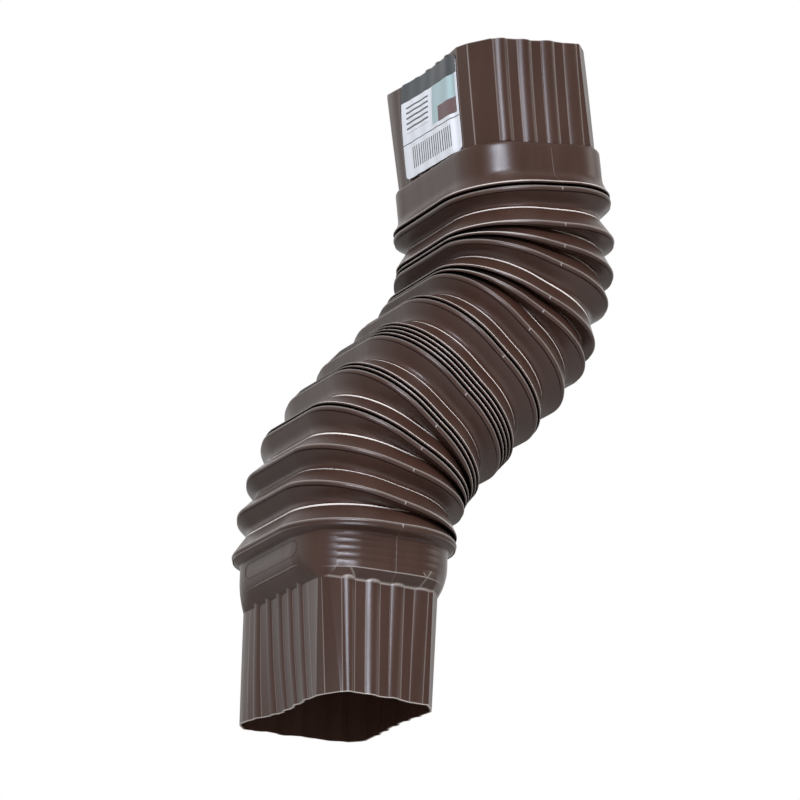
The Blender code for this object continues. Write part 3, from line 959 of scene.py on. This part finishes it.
class Bellows:
    """All pleats from the first crest's edge to the last crest's lip."""

    CORNER_STEPS = 22
    FACE_STEP = 3.0 * MM
    SEAM_PROUD = 0.15 * MM
    SEAM_PALE = 0.3
    # A pleat's pitch in millimetres where it starts to count as open, and where it is fully open
    OPENS = (2.3, 8.0)
    # Of a lip: its share of the way down, millimetres in, painted highlight shut and open, and painted
    # shade
    LIP = (
        (0.0, 0.0, 0.9, 0.30, 0.0),
        (0.14, -0.15, 0.7, 0.12, 0.0),
        (0.36, -0.27, 0.1, 0.05, 0.0),
        (0.62, -0.25, 0.0, 0.0, 0.0),
        (0.85, -0.10, 0.0, 0.0, 0.0),
        (1.0, 0.14, 0.0, 0.0, 0.0),
        (1.05, 0.28, 0.0, 0.0, 0.0),
        (1.15, 0.60, 0.0, 0.0, 1.0),
        (1.30, 0.42, 0.0, 0.0, 0.6),
        (1.45, 0.15, 0.0, 0.0, 0.0),
    )
    SHUT_LIP_SHARE = 0.3
    FIRST_RISE = 3.0 * MM
    FIRST_DEPTH = 4.0 * MM
    # Of the upper flank: its share of the way down, and its share of the way in
    FLANK = (
        (0.0, 0.0), (0.12, 0.20), (0.26, 0.44), (0.40, 0.68), (0.52, 0.86), (0.62, 0.96), (0.72, 1.0),
        (0.84, 0.97), (0.94, 0.92), (1.0, 0.88),
    )
    BELOW_LIP_MIDDLE = 7
    INSIDE_STEPS = (3, 5, 9)

    def __init__(self, frames: Sequence[PipeFrame]) -> None:
        """Lay out the places round the pleats."""
        self.frames = list(frames)
        self.flats = CREST.flats()
        self.samples = plain_samples(self.flats, self.CORNER_STEPS, self.FACE_STEP)

    def openness(self, pleat: int) -> list[float]:
        """Return how far open a pleat stands at each sample, from 0 shut to 1 open."""
        if pleat >= len(PLEATS_MM):
            return [1.0] * len(self.samples)
        left, right = PLEATS_MM[pleat]
        shares = []
        for sample in self.samples:
            x, _ = outline_point(CREST, self.flats, sample)
            pitch = left + (right - left) * (x + CREST.half_x) / (2.0 * CREST.half_x)
            shares.append(smooth_step(*self.OPENS, pitch))
        return shares

    def around(
        self,
        place: PipeFrame,
        section: Section,
        height: Sequence[float],
        inset: Sequence[float],
        pale: Sequence[float],
        painted_shade: Sequence[float],
        seam: float = 0.0,
    ) -> Ring:
        """Lay out a ring whose height and inset change round the pipe.

        Args:
            place: the frame it is measured from.
            section: the section it starts from.
            height: how far up the axis each point lies.
            inset: how far in each point lies.
            pale: how pale each point is.
            painted_shade: how much painted shade darkens each point.
            seam: how much of the mould's seam shows.

        Returns:
            The ring.
        """
        points, pales = [], []
        for index, sample in enumerate(self.samples):
            here = section.grown(-inset[index] + self.SEAM_PROUD * seam * sample.seam)
            x, y = outline_point(here, self.flats, sample)
            points.append(place.place(x, y, height[index]))
            pales.append(max(pale[index], self.SEAM_PALE * seam * sample.seam))
        return Ring(points, pales, list(painted_shade))

    def crest(self, number: int) -> list[Ring]:
        """Lay out a crest's edge, its lip and the groove under the lip.

        Args:
            number: which crest, from the inlet down.

        Returns:
            Rings downwards.
        """
        place = self.frames[number]
        openness = self.openness(number)
        lip = [SHUT_LIP + (OPEN_LIP - SHUT_LIP) * share for share in openness]
        rings = []
        for down, inset, shut_edge_highlight, open_edge_highlight, dark in self.LIP:
            height = [-down * value for value in lip]
            # Painted highlight along the crest's edge, brightest where the fold below is shut
            pale = [shut_edge_highlight + (open_edge_highlight - shut_edge_highlight) * share for share in openness]
            inward = [inset * MM * max(self.SHUT_LIP_SHARE, share) for share in openness]
            # Painted shade in the groove under an open lip
            painted_shade = [dark * share for share in openness]
            seam = 1.0 if down < 1.0 else 0.0
            rings.append(self.around(place, CREST, height, inward, pale, painted_shade, seam))
        return rings

    def pleat(self, number: int, start: Ring) -> list[Ring]:
        """Lay out the two flanks between a crest's lip and the next crest's edge.

        Args:
            number: which pleat, from the inlet down.
            start: the last ring of the crest above it.

        Returns:
            Rings downwards.
        """
        below = self.frames[number + 1]
        first = number == 0
        rise = self.FIRST_RISE if first else FLANK_RISE
        depth = self.FIRST_DEPTH if first else CREST.half_x - VALLEY.half_x
        none = [0.0] * len(self.samples)
        valley = self.around(below, CREST, [rise] * len(none), [depth] * len(none), none, none)
        edge = self.around(below, CREST, none, none, none, none)
        openness = self.openness(number)
        # Painted shade: a shut fold's flanks are darkened towards black where the gap between them lies in
        # shadow
        shut_gap_shade = [1.0 - share for share in openness]
        axis = (self.frames[number].place(0.0, 0.0) - below.place(0.0, 0.0)).normalized()
        rings = []
        for along, inward in self.FLANK[1:] + ((0.965, 0.90),):
            points = []
            for index, share in enumerate(openness):
                top, bottom = start.points[index], valley.points[index]
                way = bottom - top
                inwards = way - axis * way.dot(axis)
                bent = (inward - along) * share
                points.append(top + way * along + inwards * bent)
            rings.append(Ring(points, list(none), shut_gap_shade))
        rings.sort(key=lambda ring: -(ring.points[0] - valley.points[0]).length)
        fold = rings[-1]
        crease = [smooth_step(0.02, 0.3, share) for share in openness]
        rings[-2] = Ring(rings[-2].points, crease, shut_gap_shade)
        rings[-1] = Ring(fold.points, crease, shut_gap_shade)
        for along, light in ((0.05, 1.0), (0.10, 0.0), (0.35, 0.0), (0.7, 0.0), (0.955, 0.0)):
            points = [a.lerp(b, along) for a, b in zip(fold.points, edge.points)]
            rings.append(Ring(points, [light * share for share in crease], shut_gap_shade))
        return rings

    def inside(self, outer: Sequence[Ring], picks: Sequence[int]) -> list[Ring]:
        """Offset chosen rings inwards by the wall.

        Args:
            outer: all rings down the outside.
            picks: which of them to follow.

        Returns:
            Rings down the inside.
        """
        rings = []
        count = len(self.samples)
        for pick in picks:
            above = outer[max(0, pick - 1)]
            below = outer[min(len(outer) - 1, pick + 1)]
            here = outer[pick]
            points = []
            for index in range(count):
                around = here.points[(index + 1) % count] - here.points[index - 1]
                along = below.points[index] - above.points[index]
                points.append(here.points[index] + around.cross(along).normalized() * FOLD_WALL)
            rings.append(Ring(points, [0.0] * count, [0.0] * count))
        return rings

    def build(self) -> bpy.types.Object:
        """Build the bellows as one wall."""
        outer: list[Ring] = []
        picks: list[int] = []
        for number in range(len(self.frames)):
            crest = self.crest(number)
            if number == 0:
                crest = crest[1:]
            outer += crest
            picks.append(len(outer) - self.BELOW_LIP_MIDDLE)
            if number + 1 < len(self.frames):
                start = len(outer)
                outer += self.pleat(number, outer[-1])
                picks += [start + step for step in self.INSIDE_STEPS]
        return WallPiece("bellows", outer, self.inside(outer, picks)).build()


class Sticker:
    """The paper sticker, which bridges the ribs of the inlet's left face just below its rim."""

    WIDTH = 51.0 * MM
    HEIGHT = 42.6 * MM
    TURN = math.radians(1.7)
    CORNER = 2.5 * MM
    BELOW_RIM = 1.1 * MM
    SHIFT_Y = -3.8 * MM
    CLEAR = 0.30 * MM
    SHEET = 0.12 * MM
    SMOOTH_DEGREES = 30.0
    # Between two ribs it sags, and beyond the outermost ones it lies down on the wall
    SAG = 0.10 * MM
    LEAVES_RIB = 1.5 * MM
    LIES_DOWN = 6.0 * MM

    def __init__(self, sleeve: Sleeve) -> None:
        """Keep the sleeve that carries the sticker."""
        self.sleeve = sleeve

    def spot(self, depth: float, y: float, out: float) -> Vector:
        """Find a point of the sticker.

        Args:
            depth: how far below the rim.
            y: how far along the wide way.
            out: how far out from the ribs.

        Returns:
            The point in the model's frame.
        """
        here = self.sleeve.flared(INLET, depth)
        x, _ = here.pinched(-here.half_x - WIDE_FLUTES.height, y, self.sleeve.pinch_at(depth))
        last_rib = (WIDE_FLUTES.count - 1) / 2.0 * WIDE_FLUTES.pitch
        sag = self.SAG * (1.0 - math.cos(2.0 * math.pi * min(abs(y), last_rib) / WIDE_FLUTES.pitch))
        past = smooth_step(last_rib + self.LEAVES_RIB, last_rib + self.LIES_DOWN, abs(y))
        sag += WIDE_FLUTES.height * past
        around = max(0.0, -y - (here.half_y - INLET.near_corner * INLET.corner_y))
        sag += around * KINK_X * INLET.corner_x / (KINK_Y * INLET.corner_y)
        return self.sleeve.rim.moved(-depth).place(x - out + sag, y)

    def build(self) -> bpy.types.Object:
        """Shape a grid into the sticker, give it the print's map and a paper's thickness."""
        bpy.ops.object.select_all(action="DESELECT")
        bpy.ops.mesh.primitive_grid_add(x_subdivisions=56, y_subdivisions=44, size=2.0)
        item = bpy.context.active_object
        item.name = "sticker"
        mesh = item.data
        mesh.name = "sticker"
        layer = mesh.uv_layers.active or mesh.uv_layers.new(name="UVMap")
        flat = {}
        for vertex in mesh.vertices:
            u, v = vertex.co.x, vertex.co.y
            depth = (1.0 - v) / 2.0 * self.HEIGHT
            edge = min(depth, self.HEIGHT - depth)
            half = self.WIDTH / 2.0
            if edge < self.CORNER:
                half -= self.CORNER - math.sqrt(max(0.0, self.CORNER ** 2 - (self.CORNER - edge) ** 2))
            y = -u * half
            flat[vertex.index] = (0.5 - y / self.WIDTH, 1.0 - depth / self.HEIGHT)
            low = depth - self.HEIGHT / 2.0
            turned_y = y * math.cos(self.TURN) + low * math.sin(self.TURN)
            turned_low = low * math.cos(self.TURN) - y * math.sin(self.TURN)
            deep = self.BELOW_RIM + self.HEIGHT / 2.0 + turned_low
            vertex.co = self.spot(deep, self.SHIFT_Y + turned_y, self.CLEAR)
        for loop in mesh.loops:
            layer.data[loop.index].uv = flat[loop.vertex_index]
        mesh.update()
        middle = mesh.polygons[len(mesh.polygons) // 2]
        if middle.normal.x > 0.0:
            edit_all(bpy.ops.mesh.flip_normals)
        thickness = item.modifiers.new("paper", "SOLIDIFY")
        thickness.thickness = self.SHEET
        thickness.offset = 1.0
        bpy.ops.object.modifier_apply(modifier="paper")
        bpy.ops.object.shade_smooth_by_angle(angle=math.radians(self.SMOOTH_DEGREES))
        return item


def hex_colour(text: str) -> tuple[float, float, float, float]:
    """Turn an sRGB hex value into a linear colour."""
    parts = [int(text[index : index + 2], 16) / 255.0 for index in (0, 2, 4)]
    linear = [part / 12.92 if part <= 0.04045 else ((part + 0.055) / 1.055) ** 2.4 for part in parts]
    return (*linear, 1.0)


Value = Union[float, bpy.types.NodeSocket]
WHITE = (1.0, 1.0, 1.0, 1.0)


class Nodes:
    """A node tree with one small function that adds a node."""

    def __init__(self, tree: bpy.types.NodeTree) -> None:
        """Start with an empty tree."""
        self.tree = tree
        self.tree.nodes.clear()

    def add(self, kind: str, settings: dict[str, object] | None = None, **inputs: object) -> bpy.types.Node:
        """Add a node with its settings and links.

        Args:
            kind: the node's type, without the ShaderNode prefix.
            settings: properties of the node.
            **inputs: values or sockets for its inputs, by name with underscores or as s0, s1 and so on.

        Returns:
            The node.
        """
        node = self.tree.nodes.new("ShaderNode" + kind)
        for key, value in (settings or {}).items():
            setattr(node, key, value)
        for key, value in inputs.items():
            socket = node.inputs[int(key[1:])] if key[0] == "s" and key[1:].isdigit() else (
                node.inputs[key.replace("_", " ")]
            )
            if isinstance(value, bpy.types.NodeSocket):
                self.tree.links.new(value, socket)
            else:
                socket.default_value = value
        return node

    def calc(self, operation: str, one: Value, other: Value) -> bpy.types.NodeSocket:
        """Return what a math node makes of two values or sockets."""
        return self.add("Math", {"operation": operation}, s0=one, s1=other).outputs[0]

    def ramp(self, value: Value, low: float, high: float, start: float, end: float) -> bpy.types.NodeSocket:
        """Return a value that runs from start to end while another one runs from low to high."""
        return self.add("MapRange", Value=value, s1=low, s2=high, s3=start, s4=end).outputs[0]

    def vector(self, operation: str, **inputs: object) -> bpy.types.Node:
        """Return a node that works on vectors."""
        return self.add("VectorMath", {"operation": operation}, **inputs)


class Shader(Nodes):
    """A material and its node tree."""

    def __init__(self, name: str) -> None:
        """Start a material with an empty tree."""
        self.material = bpy.data.materials.new(name)
        self.material.use_nodes = True
        super().__init__(self.material.node_tree)

    def finish(self, surface: bpy.types.Node) -> bpy.types.Material:
        """Show a surface on the material and return it."""
        self.add("OutputMaterial", Surface=surface.outputs[0])
        return self.material


@dataclass(frozen=True)
class BrownVinyl:
    """Blow-moulded PVC in dark brown: a dull sheen, faint streaks, folds that whiten where they bend,
    painted shade and painted highlights.
    """

    base: str = "402A21"
    pale: str = "F0E6DC"
    # Near black: the colour of the painted shade in grooves and shut folds
    dark: str = "050404"
    roughness: float = 0.34

    MARK_CORE = 0.04 * MM
    MARK_EDGE = 0.60 * MM
    MARK_STRENGTH = 0.17
    MARKS_BEFORE_Y = -38.0 * MM
    # Where the marks start and end, as X and Z in millimetres
    CREASES_MM = (
        ((-20.8, 47.1), (-19.1, 50.6)),
        ((-19.1, 50.6), (-16.9, 53.9)),
        ((-19.1, 50.6), (-20.6, 52.6)),
        ((-52.8, 50.7), (-49.8, 47.7)),
    )

    def creases(self, shader: Shader, place: bpy.types.NodeSocket) -> bpy.types.NodeSocket:
        """Draw the stress marks on the front of the lower shoulder.

        Args:
            shader: the material's nodes.
            place: the surface point in the model's frame.

        Returns:
            How white the marks are.
        """
        flat = shader.vector("MULTIPLY", s0=place, s1=(1.0, 0.0, 1.0)).outputs[0]
        marks = None
        for start, end in self.CREASES_MM:
            first = Vector((start[0], 0.0, start[1])) * MM
            span = Vector((end[0], 0.0, end[1])) * MM - first
            way = span.normalized()
            here = shader.vector("SUBTRACT", s0=flat, s1=first).outputs[0]
            along = shader.vector("DOT_PRODUCT", s0=here, s1=way).outputs["Value"]
            held = shader.ramp(along, 0.0, span.length, 0.0, span.length)
            foot = shader.vector("SCALE", s0=way, Scale=held).outputs[0]
            away = shader.vector("DISTANCE", s0=here, s1=foot).outputs["Value"]
            mark = shader.ramp(away, self.MARK_CORE, self.MARK_EDGE, self.MARK_STRENGTH, 0.0)
            marks = mark if marks is None else shader.calc("MAXIMUM", marks, mark)
        deep = shader.add("SeparateXYZ", Vector=place).outputs[1]
        return shader.calc("MULTIPLY", marks, shader.calc("LESS_THAN", deep, self.MARKS_BEFORE_Y))

    def make(self) -> bpy.types.Material:
        """Build the material."""
        shader = Shader("blow_moulded_vinyl")
        place = shader.add("TexCoord").outputs["Object"]
        # PVC runs down the mould in streaks, a few millimetres wide and far longer
        stretched = shader.add("Mapping", Vector=place, Scale=(1.0, 1.0, 0.12)).outputs[0]
        streak = shader.add("TexNoise", Vector=stretched, Scale=180.0, Detail=3.0, Roughness=0.5).outputs[0]
        cloud = shader.add("TexNoise", Vector=place, Scale=38.0, Detail=2.0, Roughness=0.5).outputs[0]
        grain = shader.add("TexNoise", Vector=place, Scale=1900.0, Detail=2.0, Roughness=0.6).outputs[0]
        tone = shader.calc(
            "MULTIPLY", shader.ramp(cloud, 0.3, 0.7, 0.92, 1.08), shader.ramp(streak, 0.3, 0.7, 0.96, 1.04)
        )
        brown = shader.vector("SCALE", s0=hex_colour(self.base)[:3], Scale=tone).outputs[0]
        painted_shade = shader.add("Attribute", {"attribute_name": "painted_shade"}).outputs["Fac"]
        pale = shader.add("Attribute", {"attribute_name": "pale"}).outputs["Fac"]
        pale = shader.calc("MAXIMUM", pale, self.creases(shader, place))
        # Painted shade: a point attribute mixes the brown towards near black in grooves, under lips and in
        # shut folds
        painted_shade_mix = shader.add("Mix", {"data_type": "RGBA"}, s0=painted_shade, s6=brown, s7=hex_colour(self.dark))
        # The pale colour whitens the folds, the seam and the stress marks, and is painted highlight along
        # crest edges and rib feet
        colour = shader.add(
            "Mix", {"data_type": "RGBA"}, s0=pale, s6=painted_shade_mix.outputs[2], s7=hex_colour(self.pale)
        ).outputs[2]
        rough = shader.ramp(streak, 0.3, 0.7, self.roughness - 0.04, self.roughness + 0.05)
        bump = shader.add("Bump", Strength=0.12, Distance=0.00004, Height=grain)
        wavy = shader.add("Bump", Strength=0.25, Distance=0.0002, Height=cloud, Normal=bump.outputs[0])
        surface = shader.add(
            "BsdfPrincipled", Base_Color=colour, Roughness=rough, Normal=wavy.outputs[0], IOR=1.5
        )
        return shader.finish(surface)


@dataclass(frozen=True)
class PrintedLabel:
    """Coated label stock with a plain print: a charcoal band, a pale picture field, grey lines and bars."""

    paper: str = "F6F8FC"
    band: str = "3E4346"
    field: str = "B5CDCF"
    block: str = "6E5556"
    ink: str = "4A4D50"

    def make(self) -> bpy.types.Material:
        """Build the material from rectangles in the label's own map."""
        shader = Shader("coated_label_stock")
        spot = shader.add("UVMap").outputs[0]
        parts = shader.add("SeparateXYZ", Vector=spot)
        u, v = parts.outputs[0], parts.outputs[1]

        def inside(value: Value, low: float, high: float) -> bpy.types.NodeSocket:
            """Return 1 where a value lies between two limits."""
            above, below = shader.calc("GREATER_THAN", value, low), shader.calc("LESS_THAN", value, high)
            return both(above, below)

        def box(left: float, right: float, low: float, high: float) -> bpy.types.NodeSocket:
            """Return 1 inside a rectangle of the map."""
            return both(inside(u, left, right), inside(v, low, high))

        def bars(value: Value, count: float, share: float) -> bpy.types.NodeSocket:
            """Return 1 on even bars across a value."""
            times = shader.calc("MULTIPLY", value, count)
            part = shader.add("Math", {"operation": "FRACT"}, s0=times).outputs[0]
            return shader.calc("LESS_THAN", part, share)

        def both(one: Value, other: Value) -> bpy.types.NodeSocket:
            """Return 1 where both are 1."""
            return shader.calc("MULTIPLY", one, other)

        layers = (
            (self.band, box(0.0, 1.0, 0.80, 1.0)),
            (self.field, box(0.55, 0.97, 0.40, 0.80)),
            (self.block, box(0.66, 0.97, 0.40, 0.56)),
            (self.ink, both(box(0.08, 0.48, 0.46, 0.74), bars(v, 18.0, 0.34))),
            (self.ink, box(0.0, 1.0, 0.352, 0.362)),
            (self.ink, both(box(0.14, 0.86, 0.08, 0.30), bars(u, 26.0, 0.42))),
        )
        colour = shader.add("RGB").outputs[0]
        colour.default_value = hex_colour(self.paper)
        for text, mask in layers:
            colour = shader.add(
                "Mix", {"data_type": "RGBA"}, s0=mask, s6=colour, s7=hex_colour(text)
            ).outputs[2]
        return shader.finish(shader.add("BsdfPrincipled", Base_Color=colour, Roughness=0.38, IOR=1.45))


@dataclass(frozen=True)
class Softbox:
    """An area light that points at the elbow's middle."""

    name: str
    azimuth: float
    height: float
    distance: float
    width: float
    length: float
    watts: float
    colour: str

    def build(self) -> bpy.types.Object:
        """Add the light; azimuth turns from the front towards the left."""
        centre = Vector((0.0, 0.0, 0.15))
        turn, rise = math.radians(self.azimuth), math.radians(self.height)
        way = Vector((-math.sin(turn) * math.cos(rise), -math.cos(turn) * math.cos(rise), math.sin(rise)))
        data = bpy.data.lights.new(self.name, "AREA")
        data.shape = "RECTANGLE"
        data.size = self.width
        data.size_y = self.length
        data.energy = self.watts
        data.color = hex_colour(self.colour)[:3]
        item = bpy.data.objects.new(self.name, data)
        bpy.context.scene.collection.objects.link(item)
        item.matrix_world = Matrix.Translation(centre + way * self.distance) @ (
            way.to_track_quat("Z", "Y").to_matrix().to_4x4()
        )
        return item


class Studio:
    """The camera, the lights, the white room and its floor."""

    YAW = 25.556
    PITCH = 16.89
    ROLL = 1.624
    PLACE = (-772.32 * MM, -1590.56 * MM, -396.48 * MM)
    FOCAL_PX = 4403.75
    PICTURE_PX = 800.0
    SENSOR_MM = 36.0
    FLOOR_SIZE = 14.0
    FLOOR_Z = -0.75
    # From and to which direction, and from and to which strength, the room's light runs
    SOFT_BY_HEIGHT = (-0.6, 0.9, 0.10, 0.50)
    SHOWN_BY_DEPTH = (-0.35, 0.40, 0.22, 1.0)
    SHOWN_BY_HEIGHT = (-0.35, 0.15, 0.25, 1.0)

    LIGHTS = (
        Softbox("front_softbox", 22.0, 20.0, 2.1, 1.1, 0.5, 48.0, "EAF0FF"),
        Softbox("top_softbox", 8.0, 56.0, 1.8, 0.9, 0.5, 4.5, "FFFFFF"),
        Softbox("right_softbox", -75.0, 25.0, 2.2, 0.8, 1.0, 5.0, "FFF8F0"),
    )

    def camera(self) -> None:
        """Set the camera where the photograph was taken from."""
        yaw, pitch, roll = (math.radians(value) for value in (self.YAW, self.PITCH, self.ROLL))
        right = Vector((math.cos(yaw), -math.sin(yaw), 0.0))
        away = Vector((math.sin(yaw), math.cos(yaw), 0.0))
        up = Vector((0.0, 0.0, math.cos(pitch))) - away * math.sin(pitch)
        look = away * math.cos(pitch) + Vector((0.0, 0.0, math.sin(pitch)))
        right_turned = right * math.cos(roll) + up * math.sin(roll)
        up_turned = up * math.cos(roll) - right * math.sin(roll)
        data = bpy.data.cameras.new("camera")
        data.sensor_width = self.SENSOR_MM
        data.sensor_fit = "HORIZONTAL"
        data.lens = self.SENSOR_MM * self.FOCAL_PX / self.PICTURE_PX
        data.clip_end = 100.0
        item = bpy.data.objects.new("camera", data)
        bpy.context.scene.collection.objects.link(item)
        axes = Matrix((right_turned, up_turned, -look)).transposed()
        item.matrix_world = Matrix.Translation(self.PLACE) @ axes.to_4x4()
        bpy.context.scene.camera = item

    def floor(self) -> None:
        """Lay a pale floor well below the elbow, which hangs as it would from its pipe."""
        bpy.ops.object.select_all(action="DESELECT")
        bpy.ops.mesh.primitive_plane_add(size=self.FLOOR_SIZE, location=(0.0, 0.0, self.FLOOR_Z))
        item = bpy.context.active_object
        item.name = "floor"
        shader = Shader("white_floor")
        paint = shader.add("BsdfDiffuse", Color=hex_colour("E2E0DC"))
        glow = shader.add("Emission", Color=WHITE, Strength=1.0)
        seen = shader.add("LightPath").outputs["Is Camera Ray"]
        both = shader.add("MixShader", s0=seen, s1=paint.outputs[0], s2=glow.outputs[0])
        item.data.materials.append(shader.finish(both))

    def room(self) -> None:
        """Light the room softly from above, and show it white to the camera and in reflections."""
        world = bpy.context.scene.world or bpy.data.worlds.new("room")
        bpy.context.scene.world = world
        world.use_nodes = True
        nodes = Nodes(world.node_tree)
        path = nodes.add("LightPath").outputs
        seen = nodes.calc("MAXIMUM", path["Is Camera Ray"], path["Is Glossy Ray"])
        seen = nodes.calc("MAXIMUM", seen, path["Is Transmission Ray"])
        way = nodes.add("SeparateXYZ", Vector=nodes.add("TexCoord").outputs["Generated"]).outputs
        wall = nodes.calc(
            "MULTIPLY", nodes.ramp(way[1], *self.SHOWN_BY_DEPTH), nodes.ramp(way[2], *self.SHOWN_BY_HEIGHT)
        )
        shown = nodes.calc("MAXIMUM", wall, path["Is Camera Ray"])
        soft = nodes.add("Background", Color=WHITE, Strength=nodes.ramp(way[2], *self.SOFT_BY_HEIGHT))
        white = nodes.add("Background", Color=WHITE, Strength=shown)
        mix = nodes.add("MixShader", s0=seen, s1=soft.outputs[0], s2=white.outputs[0])
        nodes.add("OutputWorld", Surface=mix.outputs[0])

    def build(self) -> None:
        """Set up the whole studio."""
        self.camera()
        self.floor()
        self.room()
        for light in self.LIGHTS:
            light.build()
        bpy.context.scene.view_settings.view_transform = "Standard"


def dress(item: bpy.types.Object, material: bpy.types.Material, node: str) -> None:
    """Finish a piece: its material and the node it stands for.

    Args:
        item: the piece.
        material: its finish.
        node: the CAD node that it replaces.
    """
    item.data.materials.clear()
    item.data.materials.append(material)
    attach(item, "root")
    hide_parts(node)
    LOG.info("%s: %d faces", item.name, len(item.data.polygons))


def main() -> None:
    """Build the pieces in order and set up the studio."""
    logging.basicConfig(level=logging.INFO, format="%(name)s %(message)s")
    frames = crest_frames()
    vinyl = BrownVinyl().make()
    inlet = InletEnd(frames[0])
    dress(inlet.build(), vinyl, "flexible_elbow")
    dress(Bellows(frames).build(), vinyl, "flexible_elbow")
    outlet = OutletEnd(frames[-1])
    dress(outlet.build(), vinyl, "flexible_elbow")
    dress(outlet.frame(), vinyl, "flexible_elbow")
    dress(Sticker(inlet.sleeve).build(), PrintedLabel().make(), "label")
    Studio().build()


if __name__ == "__main__":
    main()
